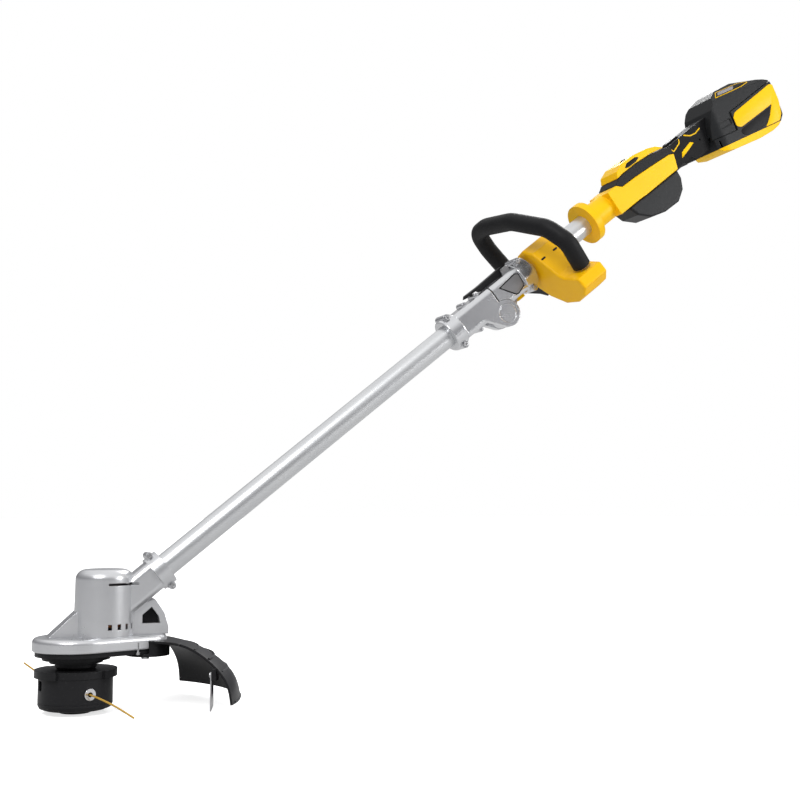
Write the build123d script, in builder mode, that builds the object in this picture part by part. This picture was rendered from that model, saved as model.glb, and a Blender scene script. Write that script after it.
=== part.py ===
from build123d import *
import os
from math import cos, radians, sin, tan

os.makedirs("parts", exist_ok=True)

# Driving dimensions, in millimetres and degrees. The origin is under the spindle, at the bottom of
# the bump knob. +Z runs up the spindle and +X runs from the cutting head towards the rear grip.
shaft_rise = 38.7                  # the shaft's angle above the cutting plane
tube_radius = 16.0
tube_wall = 1.6
neck_x, neck_z = 110.0, 180.3      # where the shaft's axis leaves the head
gear_gap = 33.0                    # spindle axis to motor axis, at gear module 1
drive_teeth, pinion_teeth = 48, 18
slip = 0.05                        # radial clearance of a running fit
gap = 0.4                          # air between bodies that only pass each other

# Heights in the head
cover_bottom, housing_bottom, rim_bottom, rim_top = 5.0, 14.2, 45.0, 54.0
hub_top, gear_cover_bottom, gear_case_bottom, gear_case_top = 61.4, 62.0, 77.0, 94.0
head_top = 178.0
bump_travel = 5.0

# Radii in the head
spool_radius, rim_radius, spindle_radius, motor_shaft_radius = 46.0, 51.0, 5.0, 3.0
motor_radius, motor_bore = 37.5, 34.5
eyelet_angle, eyelet_height = -75.5, 27.0

# Stations along the shaft, measured from the neck
lower_collar, parting, upper_collar = (518.0, 540.0), 611.0, (664.0, 688.0)
pivot_along, pivot_above = 612.0, -27.0
handle_along = 717.0
flange_along = (816.0, 828.0)
trigger_along, trigger_above = 1001.0, -19.0
battery_along, battery_above, battery_tilt = 1085.0, -10.0, 12.0

shaft = Vector(cos(radians(shaft_rise)), 0, sin(radians(shaft_rise)))
above = Vector(-shaft.Z, 0, shaft.X)


def shaft_point(along, up=0.0, side=0.0):
    """A point placed along the shaft, above its axis and to the side (+Y)."""
    return Vector(neck_x, side, neck_z) + shaft * along + above * up


def section(along):
    """The plane across the shaft: local x is +Y and local y is up from the axis."""
    return Plane(origin=shaft_point(along), x_dir=(0, 1, 0), z_dir=shaft)


def side_view(side=0.0):
    """The plane of the shaft's side view: local x runs along the shaft, local y is above it."""
    return Plane(origin=shaft_point(0, 0, side), x_dir=shaft, z_dir=(0, -1, 0))


battery_rise = radians(shaft_rise - battery_tilt)
battery_dir = Vector(cos(battery_rise), 0, sin(battery_rise))
battery_view = Plane(origin=shaft_point(battery_along, battery_above), x_dir=battery_dir, z_dir=(0, -1, 0))


def write_piece(piece, name):
    piece.part.label = name
    export_step(piece.part, f"parts/{name}.step")


def radial_plane(angle, radius, height):
    """A plane facing outwards at an angle round the spindle."""
    facing = Vector(cos(radians(angle)), sin(radians(angle)), 0)
    return Plane(origin=facing * radius + Vector(0, 0, height), z_dir=facing)


def turn_plane(angle, axis_x=0.0):
    """A half plane through an upright axis: local x is the radius and local y is the height."""
    out = Vector(cos(radians(angle)), sin(radians(angle)), 0)
    return Plane(origin=(axis_x, 0, 0), x_dir=out, z_dir=(out.Y, -out.X, 0))


def turned(points, axis_x=0.0):
    """A solid turned about an upright axis from its half section."""
    with BuildPart() as blank:
        with BuildSketch(turn_plane(0, axis_x)):
            Polygon(*points, align=None)
        revolve(axis=Axis((axis_x, 0, 0), (0, 0, 1)))
    return blank.part


# ---------------------------------------------------------------- spool head

stem_radius, knob_radius = 9.0, 24.0
with BuildPart() as bump_knob:
    add(turned([(0, 0), (19, 0), (knob_radius, 4), (knob_radius, 9.8), (stem_radius, 9.8),
                (stem_radius, 36), (spindle_radius + slip, 36), (spindle_radius + slip, 14), (0, 14)]))
    with PolarLocations(knob_radius, 8):
        Cylinder(2.0, 12, mode=Mode.SUBTRACT)
write_piece(bump_knob, "bump_knob")

with BuildPart() as line_spool:
    add(turned([(stem_radius + slip, 10), (38, 10), (38, 12), (16, 12), (16, 32), (38, 32), (38, 34),
                (stem_radius + slip, 34)]))
write_piece(line_spool, "line_spool")

line_radius = 1.2
with BuildPart() as wound_line:
    add(turned([(16, 12), (33, 12), (33, 32), (16, 32)]))
    for turn in range(8):
        with BuildSketch(turn_plane(0)):
            with Locations((33, 12 + line_radius + turn * 2 * line_radius)):
                Circle(line_radius)
        revolve(axis=Axis.Z)
write_piece(wound_line, "wound_line")

spring_wire = 0.8
with BuildPart() as bump_spring:
    with BuildLine() as coil:
        Helix(pitch=4.0, height=14.8, radius=12, center=(0, 0, 35.1))
    with BuildSketch(Plane(origin=coil.line @ 0, z_dir=coil.line % 0)):
        Circle(spring_wire)
    sweep()
write_piece(bump_spring, "bump_spring")

eyelet_sleeve, eyelet_bore = 5.2, 3.0
with BuildPart() as spool_housing:
    add(turned([(spindle_radius, rim_top), (rim_radius, rim_top), (rim_radius, rim_bottom),
                (spool_radius, rim_bottom), (spool_radius, housing_bottom), (43, housing_bottom),
                (43, 41), (15, 41), (15, 51), (spindle_radius, 51)]))
    for start in (-125, 55):
        with BuildSketch(turn_plane(start)):
            Polygon((spool_radius + 0.8, rim_bottom - 1), (rim_radius + 1, rim_bottom - 1),
                    (rim_radius + 1, rim_top + 1), (spool_radius + 0.8, rim_top + 1), align=None)
        revolve(axis=Axis.Z, revolution_arc=72, mode=Mode.SUBTRACT)
    for angle in (eyelet_angle, eyelet_angle + 180):
        with BuildSketch(radial_plane(angle, 40, eyelet_height)):
            Circle(eyelet_sleeve)
        extrude(amount=10, mode=Mode.SUBTRACT)
    for angle in (-165, 15):
        with BuildSketch(radial_plane(angle, 40, 36)):
            Rectangle(9, 12)
        extrude(amount=10, mode=Mode.SUBTRACT)
write_piece(spool_housing, "spool_housing")

with BuildPart() as spool_cover:
    add(turned([(26, cover_bottom), (39, cover_bottom), (44, 7), (spool_radius, 11),
                (spool_radius, 14), (42.8, 14), (42.8, 12), (39, 8), (26, 8)]))
    with BuildSketch(Plane.XY.offset(cover_bottom)):
        with PolarLocations(33, 6):
            SlotOverall(9, 3, rotation=90)
    extrude(amount=4, mode=Mode.SUBTRACT)
write_piece(spool_cover, "spool_cover")

with BuildPart() as line_eyelets:
    for angle in (eyelet_angle, eyelet_angle + 180):
        with BuildSketch(radial_plane(angle, 42.5, eyelet_height)):
            Circle(eyelet_sleeve)
            Circle(eyelet_bore, mode=Mode.SUBTRACT)
        extrude(amount=spool_radius - 42.5)
        with BuildSketch(radial_plane(angle, spool_radius, eyelet_height)):
            Circle(7.2)
            Circle(eyelet_bore, mode=Mode.SUBTRACT)
        extrude(amount=2.0)
write_piece(line_eyelets, "line_eyelets")

# Each line end leaves its eyelet straight outwards and then sets its own curve.
near_route = [(9.2, -35.4, 27), (15, -58, 26.6), (26, -74, 22.5), (40, -88, 15.5), (56, -103, 5)]
far_route = [(-9.2, 35.4, 27), (-15, 58, 28), (-28, 69, 34.5), (-42, 78, 43), (-55.5, 90, 53)]


def corner_radii(route):
    """Each corner's radius: 0.45 of its shorter run over the tangent of half its turn."""
    radii = []
    for before, corner, after in zip(route, route[1:], route[2:]):
        run_in = Vector(corner) - Vector(before)
        run_out = Vector(after) - Vector(corner)
        half_turn = radians(run_in.get_angle(run_out)) / 2
        radii.append(0.45 * min(run_in.length, run_out.length) / tan(half_turn))
    return radii


def line_end(route):
    with BuildPart() as cord:
        with BuildLine() as path:
            FilletPolyline(*route, radius=corner_radii(route))
        with BuildSketch(Plane(origin=path.line @ 0, z_dir=path.line % 0)):
            Circle(line_radius)
        sweep()
    return cord, path.wires()[0].length


for name, route in (("line_end_near", near_route), ("line_end_far", far_route)):
    cord, length = line_end(route)
    print(name, "radii", [round(radius, 1) for radius in corner_radii(route)], "length", round(length, 1))
    write_piece(cord, name)

# ---------------------------------------------------------------- spindle and gears

gear_bottom, gear_top = 79.0, 85.0


def gear_face(teeth, first_angle):
    """Draws a gear of module 1 in the open sketch, with teeth thinned for backlash."""
    pitch = teeth / 2
    tip, root = pitch + 0.9, pitch - 1.2
    Circle(root)
    with PolarLocations(0, teeth, start_angle=first_angle):
        Polygon((root - 0.3, -1.05), (pitch, -0.7), (tip, -0.38), (tip, 0.38), (pitch, 0.7),
                (root - 0.3, 1.05), align=None)


with BuildPart() as spindle:
    add(turned([(0, 28), (4, 28), (spindle_radius, 29), (spindle_radius, 91), (4, 92), (0, 92)]))
write_piece(spindle, "spindle")

with BuildPart() as drive_gear:
    with BuildSketch(Plane.XY.offset(gear_bottom)):
        gear_face(drive_teeth, 0)
        Circle(spindle_radius, mode=Mode.SUBTRACT)
        with PolarLocations(14.5, 6):
            Circle(4, mode=Mode.SUBTRACT)
    extrude(amount=gear_top - gear_bottom)
write_piece(drive_gear, "drive_gear")

with BuildPart() as motor_shaft:
    add(turned([(0, 78.5), (motor_shaft_radius, 78.5), (motor_shaft_radius, 171), (0, 171)], gear_gap))
    with BuildSketch(Plane.XY.offset(gear_bottom - 0.5)):
        with Locations((gear_gap, 0)):
            gear_face(pinion_teeth, 180 / pinion_teeth)
    extrude(amount=7)
write_piece(motor_shaft, "motor_shaft")

with BuildPart() as spool_hub:
    add(turned([(spindle_radius, rim_top), (23, rim_top), (26, 57), (26, hub_top), (spindle_radius, hub_top)]))
    with BuildSketch(Plane.XY.offset(hub_top)):
        with PolarLocations(19, 6):
            SlotOverall(10, 3, rotation=90)
    extrude(amount=-3, mode=Mode.SUBTRACT)
write_piece(spool_hub, "spool_hub")

bearing_radius, bearing_height = 11.0, 6.5
lower_bearing, upper_bearing = 66.0, 86.0
with BuildPart() as spindle_bearings:
    for bottom in (lower_bearing, upper_bearing):
        with BuildSketch(Plane.XY.offset(bottom)):
            Circle(bearing_radius)
            Circle(spindle_radius + slip, mode=Mode.SUBTRACT)
        extrude(amount=bearing_height)
write_piece(spindle_bearings, "spindle_bearings")

motor_bearing_radius = 8.0
motor_bearing_bottoms = (87.0, 163.0)
with BuildPart() as motor_bearings:
    for bottom in motor_bearing_bottoms:
        with BuildSketch(Plane.XY.offset(bottom)):
            with Locations((gear_gap, 0)):
                Circle(motor_bearing_radius)
                Circle(motor_shaft_radius + slip, mode=Mode.SUBTRACT)
        extrude(amount=5)
write_piece(motor_bearings, "motor_bearings")

# ---------------------------------------------------------------- gear case and motor


def teardrop(front_radius, tail_radius, tail_x=90.0):
    """Draws the head's outline in the open sketch: a round front drawn out to a narrow tail."""
    Circle(front_radius)
    with Locations((tail_x, 0)):
        Circle(tail_radius)
    make_hull()


screw_spots = [(-44, 0), (10, -46), (10, 46), (72, -30), (72, 30)]
guard_spots = [(84, -14), (84, 14)]
with BuildPart() as gear_case:
    with BuildSketch(Plane.XY.offset(gear_case_bottom)):
        teardrop(54.5, 24)
    extrude(amount=gear_case_top - gear_case_bottom)
    fillet(gear_case.edges().group_by(Axis.Z)[-1], 6)
    fillet(gear_case.edges().group_by(Axis.Z)[0], 2)
    with BuildSketch(Plane.XY.offset(gear_case_bottom)):
        teardrop(27, 13, gear_gap)
    extrude(amount=upper_bearing - gear_case_bottom, mode=Mode.SUBTRACT)
    with BuildSketch(Plane.XY.offset(upper_bearing)):
        Circle(bearing_radius)
    extrude(amount=bearing_height, mode=Mode.SUBTRACT)
    with BuildSketch(Plane.XY.offset(upper_bearing)):
        with Locations((gear_gap, 0)):
            Circle(motor_bearing_radius)
    extrude(amount=6, mode=Mode.SUBTRACT)
    with BuildSketch(Plane.XY.offset(upper_bearing)):
        with Locations((gear_gap, 0)):
            Circle(5)
    extrude(amount=10, mode=Mode.SUBTRACT)
    with BuildSketch(Plane.XY.offset(gear_case_bottom)):
        with Locations(*screw_spots):
            Circle(1.7)
    extrude(amount=9, mode=Mode.SUBTRACT)
write_piece(gear_case, "gear_case")

with BuildPart() as gear_cover:
    with BuildSketch(Plane.XY.offset(71)):
        teardrop(51, 21)
    extrude(amount=gear_case_bottom - 71)
    with BuildSketch(Plane.XY.offset(66)):
        Circle(42)
    extrude(amount=5)
    with BuildSketch(Plane.XY.offset(gear_cover_bottom)):
        Circle(33)
    extrude(amount=4)
    with BuildSketch(Plane.XY.offset(gear_cover_bottom)):
        Circle(6)
    extrude(amount=4, mode=Mode.SUBTRACT)
    with BuildSketch(Plane.XY.offset(lower_bearing)):
        Circle(bearing_radius)
    extrude(amount=11, mode=Mode.SUBTRACT)
    with BuildSketch(Plane.XY.offset(71)):
        with Locations(*screw_spots):
            Circle(1.7)
        with Locations(*guard_spots):
            Circle(2.5)
    extrude(amount=6, mode=Mode.SUBTRACT)
    with BuildSketch(Plane.XY.offset(71)):
        with Locations(*screw_spots):
            Circle(3.2)
    extrude(amount=3, mode=Mode.SUBTRACT)
write_piece(gear_cover, "gear_cover")

stator_bottom, stator_top, stator_bore, coil_slots = 112.0, 142.0, 20.0, 12
with BuildPart() as motor_windings:
    with BuildSketch(Plane.XY.offset(stator_bottom)):
        with Locations((gear_gap, 0)):
            with PolarLocations(26, coil_slots):
                RectangleRounded(9.5, 6, 1.5)
    extrude(amount=stator_top - stator_bottom)
    for bottom in (stator_bottom - 6, stator_top):
        with BuildSketch(Plane.XY.offset(bottom)):
            with Locations((gear_gap, 0)):
                Circle(30.5)
                Circle(21.5, mode=Mode.SUBTRACT)
        extrude(amount=6)
write_piece(motor_windings, "motor_windings")

with BuildPart() as motor_stator:
    with BuildSketch(Plane.XY.offset(stator_bottom)):
        with Locations((gear_gap, 0)):
            Circle(motor_bore)
            Circle(stator_bore, mode=Mode.SUBTRACT)
            with PolarLocations(26, coil_slots):
                RectangleRounded(9.5, 6, 1.5, mode=Mode.SUBTRACT)
    extrude(amount=stator_top - stator_bottom)
write_piece(motor_stator, "motor_stator")

with BuildPart() as motor_rotor:
    add(turned([(motor_shaft_radius, 108), (stator_bore - 0.6, 108), (stator_bore - 0.6, 146),
                (motor_shaft_radius, 146)], gear_gap))
write_piece(motor_rotor, "motor_rotor")

# ---------------------------------------------------------------- head housing, in two halves

neck_height, neck_width, tube_grip = 39.0, 40.0, 24.0
gusset = [(60, 94), (114, 94), (114, 103), (108, 122), (96, 139), (62, 128)]
gusset_window = [(80, 108), (103, 108), (101, 117), (92, 129), (80, 119)]
neck_spots = [(-9, -24.5), (-9, 24.5)]
front_wedge = [(-37, 93.9), (4, 93.9), (4, 126), (-2, 126)]
with BuildPart() as head_housing:
    with BuildSketch(Plane.XY.offset(gear_case_top)):
        with Locations((gear_gap, 0)):
            Circle(motor_radius)
    extrude(amount=head_top - gear_case_top, taper=1)
    fillet(head_housing.edges().group_by(Axis.Z)[-1], 13)
    with BuildSketch(section(-100)):
        RectangleRounded(neck_width, neck_height, 9)
    extrude(amount=86)
    with BuildSketch(section(-18)):
        Circle(24)
    extrude(amount=18)
    with BuildSketch(side_view()):
        with Locations(*neck_spots):
            Circle(5)
    extrude(amount=11, both=True)
    with BuildSketch(side_view()):
        with Locations(*neck_spots):
            Circle(1.6)
    extrude(amount=11, both=True, mode=Mode.SUBTRACT)
    with BuildSketch(Plane.XZ):
        Polygon(*gusset, align=None)
        Polygon(*gusset_window, align=None, mode=Mode.SUBTRACT)
    extrude(amount=11, both=True)
    with BuildSketch(Plane.XZ):
        Polygon(*front_wedge, align=None)
    extrude(amount=15, both=True)
    with BuildSketch(Plane.XY.offset(gear_case_top - 20)):
        teardrop(70, 60)
    extrude(amount=20, mode=Mode.SUBTRACT)
    with BuildSketch(Plane.XY.offset(gear_case_top)):
        with Locations((gear_gap, 0)):
            Circle(motor_bore)
    extrude(amount=68, mode=Mode.SUBTRACT)
    with BuildSketch(Plane.XY.offset(162)):
        with Locations((gear_gap, 0)):
            Circle(motor_bearing_radius)
    extrude(amount=9.5, mode=Mode.SUBTRACT)
    with BuildSketch(section(-tube_grip)):
        Circle(tube_radius)
    extrude(amount=tube_grip, mode=Mode.SUBTRACT)
    with BuildSketch(section(-80)):
        Circle(13)
    extrude(amount=80, mode=Mode.SUBTRACT)
    for side in (-90, 20):
        with BuildSketch(turn_plane(side, gear_gap)):
            Polygon((30, 158), (45, 158), (45, 161), (30, 161), align=None)
        revolve(axis=Axis((gear_gap, 0, 0), (0, 0, 1)), revolution_arc=70, mode=Mode.SUBTRACT)
    for angle in (-90, -71, -52, -33, 33, 52, 71, 90):
        with BuildSketch(turn_plane(angle, gear_gap)):
            Polygon((30, 103), (45, 103), (45, 110), (30, 110), align=None)
        revolve(axis=Axis((gear_gap, 0, 0), (0, 0, 1)), revolution_arc=8, mode=Mode.SUBTRACT)

with BuildPart() as head_housing_left:
    add(head_housing.part)
    split(bisect_by=Plane.XZ, keep=Keep.TOP)
write_piece(head_housing_left, "head_housing_left")

with BuildPart() as head_housing_right:
    add(head_housing.part)
    split(bisect_by=Plane.XZ, keep=Keep.BOTTOM)
write_piece(head_housing_right, "head_housing_right")

# ---------------------------------------------------------------- guard and line cutter

guard_start, guard_sweep, guard_skin = -33.0, 76.0, 3.0
cutter_angle, cutter_radius = -29.5, 176.0
with BuildPart() as guard:
    with BuildSketch(turn_plane(guard_start)):
        with BuildLine() as skin:
            Line((80, 86), (118, 85))
            Spline((118, 85), (160, 73), (192, 48), (205, 14), tangents=[(30, -1), (2, -14)])
        trace(line_width=guard_skin)
    revolve(axis=Axis.Z, revolution_arc=guard_sweep)
    with BuildSketch(Plane.XY):
        Polygon((76, -26), (90, -28), (196, -132), (240, -100), (240, 120), (178, 158), (90, 28),
                (76, 26), align=None)
    extrude(amount=120, mode=Mode.INTERSECT)
    with BuildSketch(Plane.XY.offset(66.9)):
        with Locations((90, 0)):
            Circle(27.5)
        with Locations((84, 0)):
            Rectangle(14, 50)
    extrude(amount=19)
    with BuildSketch(Plane.XY.offset(70.9)):
        teardrop(54.7, 24.2)
    extrude(amount=60, mode=Mode.SUBTRACT)
    with BuildSketch(radial_plane(cutter_angle, cutter_radius + 1.6, 50)):
        RectangleRounded(13, 16, 2)
    extrude(amount=6)
    with BuildSketch(Plane.XY.offset(66)):
        with Locations(*guard_spots):
            Circle(2.5)
    extrude(amount=8, mode=Mode.SUBTRACT)
write_piece(guard, "guard")

with BuildPart() as line_cutter:
    with BuildSketch(radial_plane(cutter_angle, cutter_radius, 31)):
        Polygon((-5, 22), (5, 22), (5, -20), (-5, -26), align=None)
    extrude(amount=1.6)
    with BuildSketch(radial_plane(cutter_angle, cutter_radius - 2, 49)):
        Circle(2)
    extrude(amount=6, mode=Mode.SUBTRACT)
write_piece(line_cutter, "line_cutter")

# ---------------------------------------------------------------- lower shaft and fold hinge

yoke_height, yoke_width, ear_radius, knuckle_half = 40.0, 42.0, 20.0, 8.6
collar_radius = 25.0


def side_slab(low, high):
    """A side-view plane and the thickness to extrude from it, filling from Y low to Y high."""
    return side_view(high), high - low


def tube(start, end):
    with BuildPart() as pipe:
        with BuildSketch(section(start)):
            Circle(tube_radius)
            Circle(tube_radius - tube_wall, mode=Mode.SUBTRACT)
        extrude(amount=end - start)
    return pipe


def lead(start, end):
    with BuildPart() as cable:
        with BuildSketch(section(start)):
            Circle(3.5)
        extrude(amount=end - start)
    return cable


lower_tube = tube(-tube_grip, 548)
write_piece(lower_tube, "lower_tube")
lower_lead = lead(-38, 585)
write_piece(lower_lead, "lower_lead")

collar_bosses = (23.5, -23.5)
boss_depth = 15


def collar_body(stations):
    """The ring round the tube with a screw boss above and below, and a groove round its middle."""
    start, end = stations
    middle = (start + end) / 2
    with BuildPart() as ring:
        with BuildSketch(section(start)):
            Circle(collar_radius)
        extrude(amount=end - start)
        with BuildSketch(side_view()):
            with Locations(*[(middle, up) for up in collar_bosses]):
                Circle(5.5)
        extrude(amount=boss_depth, both=True)
        fillet(ring.edges().filter_by(GeomType.CIRCLE).filter_by(lambda e: e.radius > collar_radius - 1), 1.5)
        with BuildSketch(side_view()):
            with Locations(*[(middle, up) for up in collar_bosses]):
                Circle(1.6)
        extrude(amount=boss_depth, both=True, mode=Mode.SUBTRACT)
    return ring.part


pivot = (pivot_along, pivot_above)
ear_slabs = [(knuckle_half + gap, 40), (-40, -knuckle_half - gap)]
with BuildPart() as lower_yoke:
    add(collar_body(lower_collar))
    with BuildSketch(section(lower_collar[1] - 1)):
        RectangleRounded(yoke_width, yoke_height, 9)
    extrude(amount=parting - 2 - lower_collar[1] + 1)
    for station, up in ((566, 21), (590, 21), (566, -21)):
        with BuildSketch(side_view()):
            with Locations((station, up)):
                Circle(4.5)
        extrude(amount=10, both=True)
    with BuildSketch(side_view()):
        with Locations(pivot):
            Circle(ear_radius)
        with Locations((580, -8)):
            Circle(8)
        make_hull()
    extrude(amount=yoke_width / 2, both=True)
    with BuildSketch(side_view()):
        with Locations(pivot):
            Circle(ear_radius)
        with Locations((640, -10)):
            Circle(12)
        make_hull()
    extrude(amount=knuckle_half + gap, both=True, mode=Mode.SUBTRACT)
    with BuildSketch(side_view()):
        Polygon(pivot, (566.7, -19), (566, -50), (590, -75), (640, -75), (650, -27), align=None)
    extrude(amount=knuckle_half + gap, both=True, mode=Mode.SUBTRACT)
    with BuildSketch(side_view()):
        with Locations(pivot):
            Circle(5 + slip)
    extrude(amount=18, both=True, mode=Mode.SUBTRACT)
    for side in (-yoke_width / 2 + 1.5, yoke_width / 2):
        with BuildSketch(side_view(side)):
            with Locations(pivot):
                Circle(14)
        extrude(amount=1.5, mode=Mode.SUBTRACT)
    with BuildSketch(section(500)):
        Circle(tube_radius)
    extrude(amount=48, mode=Mode.SUBTRACT)
    with BuildSketch(section(548)):
        Circle(12)
    extrude(amount=80, mode=Mode.SUBTRACT)
write_piece(lower_yoke, "lower_yoke")

badge = [(622, 10), (657, 13), (663, 9), (661, -10), (645, -15), (640, -14)]
with BuildPart() as upper_yoke:
    add(collar_body(upper_collar))
    with BuildSketch(section(parting)):
        RectangleRounded(yoke_width, yoke_height, 9)
    extrude(amount=upper_collar[0] + 1 - parting)
    for low, high in ear_slabs:
        plane, thickness = side_slab(low, high)
        with BuildSketch(plane):
            with Locations(pivot):
                Circle(ear_radius + 0.7)
        extrude(amount=thickness, mode=Mode.SUBTRACT)
    with BuildSketch(side_view()):
        with Locations(pivot):
            Circle(ear_radius - 0.8)
        with Locations((642, -12)):
            Circle(8)
        make_hull()
    extrude(amount=knuckle_half, both=True)
    with BuildSketch(side_view()):
        with Locations(pivot):
            Circle(5)
    extrude(amount=18, both=True, mode=Mode.SUBTRACT)
    for side in (-yoke_width / 2 + 1, yoke_width / 2):
        with BuildSketch(side_view(side)):
            Polygon(*badge, align=None)
        extrude(amount=1, mode=Mode.SUBTRACT)
    with BuildSketch(section(654)):
        Circle(tube_radius)
    extrude(amount=60, mode=Mode.SUBTRACT)
    with BuildSketch(section(600)):
        Circle(12)
    extrude(amount=80, mode=Mode.SUBTRACT)
    with BuildSketch(section(645)):
        with Locations((0, -20)):
            Rectangle(13, 8)
    extrude(amount=15, mode=Mode.SUBTRACT)
write_piece(upper_yoke, "upper_yoke")

with BuildPart() as hinge_caps:
    for side in (-yoke_width / 2 + 1.5, yoke_width / 2):
        with BuildSketch(side_view(side)):
            with Locations(pivot):
                Circle(13.7)
        extrude(amount=1.5)
write_piece(hinge_caps, "hinge_caps")

with BuildPart() as hinge_badges:
    for side in (-yoke_width / 2 + 1, yoke_width / 2):
        with BuildSketch(side_view(side)):
            Polygon(*badge, align=None)
            offset(amount=-0.2)
        extrude(amount=1)
write_piece(hinge_badges, "hinge_badges")

latch_pivot = (654, 26)
with BuildPart() as fold_latch:
    with BuildSketch(side_view()):
        Polygon((576, 26.2), (600, 26.2), (604, 20.8), (656, 20.8), (660, 27), (654, 31), (606, 29.5),
                (580, 30), align=None)
    extrude(amount=6, both=True)
    with BuildSketch(side_view()):
        with Locations(latch_pivot):
            Circle(1.55)
    extrude(amount=8, both=True, mode=Mode.SUBTRACT)
write_piece(fold_latch, "fold_latch")

with BuildPart() as latch_bracket:
    for low, high in ((6.3, 9), (-9, -6.3)):
        plane, thickness = side_slab(low, high)
        with BuildSketch(plane):
            Polygon((646, 20), (662, 20), (660, 29), (648, 29), align=None)
            with Locations(latch_pivot):
                Circle(1.5, mode=Mode.SUBTRACT)
        extrude(amount=thickness)
write_piece(latch_bracket, "latch_bracket")

with BuildPart() as hinge_pins:
    with BuildSketch(side_view()):
        with Locations(pivot):
            Circle(5)
    extrude(amount=17.5, both=True)
    with BuildSketch(side_view()):
        with Locations(latch_pivot):
            Circle(1.5)
    extrude(amount=9, both=True)
write_piece(hinge_pins, "hinge_pins")

with BuildPart() as release_button:
    with BuildSketch(section(646)):
        with Locations((0, -22.7)):
            RectangleRounded(12, 7, 1.5)
    extrude(amount=13)
write_piece(release_button, "release_button")

def screws(plane, spots, head, shank):
    """Screws set on a plane: each head rises from it and each shank goes the other way."""
    with BuildPart() as group:
        with BuildSketch(plane):
            with Locations(*spots):
                Circle(head[0])
        extrude(amount=head[1])
        with BuildSketch(plane):
            with Locations(*spots):
                Circle(shank[0])
        extrude(amount=-shank[1])
        with BuildSketch(plane.offset(head[1])):
            with Locations(*spots):
                RegularPolygon(head[0] / 2, 6)
        extrude(amount=-head[1] / 2, mode=Mode.SUBTRACT)
    return group.part


def collar_screws(stations):
    middle = sum(stations) / 2
    spots = [(middle, up) for up in collar_bosses]
    return screws(side_view(-boss_depth), spots, (3.4, 2.2), (1.6, 25))


with BuildPart() as head_screws:
    add(screws(Plane.XY.offset(74), screw_spots, (3.1, -3), (1.7, -11)))
    add(screws(Plane.XY.offset(66.9), guard_spots, (5, -3), (2.5, -9.9)))
    add(screws(radial_plane(cutter_angle, cutter_radius, 49), [(0, 0)], (3.5, -2), (2, -1.6)))
    add(screws(side_view(-11), neck_spots, (3, 2), (1.6, 20)))
    add(collar_screws(lower_collar))
write_piece(head_screws, "head_screws")

upper_tube = tube(654, 872)
write_piece(upper_tube, "upper_tube")
upper_lead = lead(640, 872)
write_piece(upper_lead, "upper_lead")

# ---------------------------------------------------------------- auxiliary handle

grip_radius, core_radius = 13.5, 7.0
grip_tilt = 8.0                    # the loop leans forward, towards the head
clamp_half = 24.0
loop_plane = Plane(origin=shaft_point(handle_along), x_dir=(0, 1, 0),
                   z_dir=shaft * cos(radians(grip_tilt)) + above * sin(radians(grip_tilt)))
loop_route = [(-84, -30), (-98, 12), (-80, 44), (-14, 76), (56, 86), (92, 82), (101, 50), (103, -6)]
loop_bends = [24, 30, 60, 60, 22, 50]


def loop_sweep(radius):
    """A round bar along the handle's loop."""
    with BuildPart() as bar:
        with BuildLine(loop_plane) as path:
            FilletPolyline(*loop_route, radius=loop_bends)
        with BuildSketch(Plane(origin=path.line @ 0, z_dir=path.line % 0)):
            Circle(radius)
        sweep()
    return bar


handle_core = loop_sweep(core_radius)
write_piece(handle_core, "handle_core")

with BuildPart() as handle_grip:
    add(loop_sweep(grip_radius).part)
    add(handle_core.part, mode=Mode.SUBTRACT)
write_piece(handle_grip, "handle_grip")

clamp_outline = [(20, 8), (10, 25), (-12, 30), (-32, 20), (-50, -8), (-60, -24), (-68, -31), (-101, -40),
                 (-103, -56), (-90, -68), (-66, -74), (-36, -70), (-8, -52), (8, -34), (20, -18)]
with BuildPart() as handle_clamp:
    with BuildSketch(section(handle_along - clamp_half)) as clamp_sketch:
        Polygon(*clamp_outline, align=None)
        fillet(clamp_sketch.vertices(), 4)
    extrude(amount=2 * clamp_half)
    fillet(handle_clamp.faces().sort_by(Axis((0, 0, 0), tuple(shaft)))[0].edges(), 3)
    fillet(handle_clamp.faces().sort_by(Axis((0, 0, 0), tuple(shaft)))[-1].edges(), 3)
    with BuildSketch(section(handle_along - 40)):
        Circle(tube_radius + slip)
    extrude(amount=80, mode=Mode.SUBTRACT)
    add(loop_sweep(grip_radius).part, mode=Mode.SUBTRACT)
write_piece(handle_clamp, "handle_clamp")

bracket_outline = [(20.4, 10), (20.4, -17.5), (9.5, -34), (0, -46), (14, -52), (30, -45), (60, -38), (100, -28),
                   (119, -12), (119, 4), (88, 4), (84, -8), (66, -16), (44, -14), (34, 4), (26, 12)]
with BuildPart() as handle_bracket:
    with BuildSketch(section(handle_along - 15)) as bracket_sketch:
        Polygon(*bracket_outline, align=None)
        fillet(bracket_sketch.vertices(), 1.5)
    extrude(amount=30)
    add(handle_clamp.part, mode=Mode.SUBTRACT)
    add(loop_sweep(grip_radius).part, mode=Mode.SUBTRACT)
write_piece(handle_bracket, "handle_bracket")

# ---------------------------------------------------------------- rear housing

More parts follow.
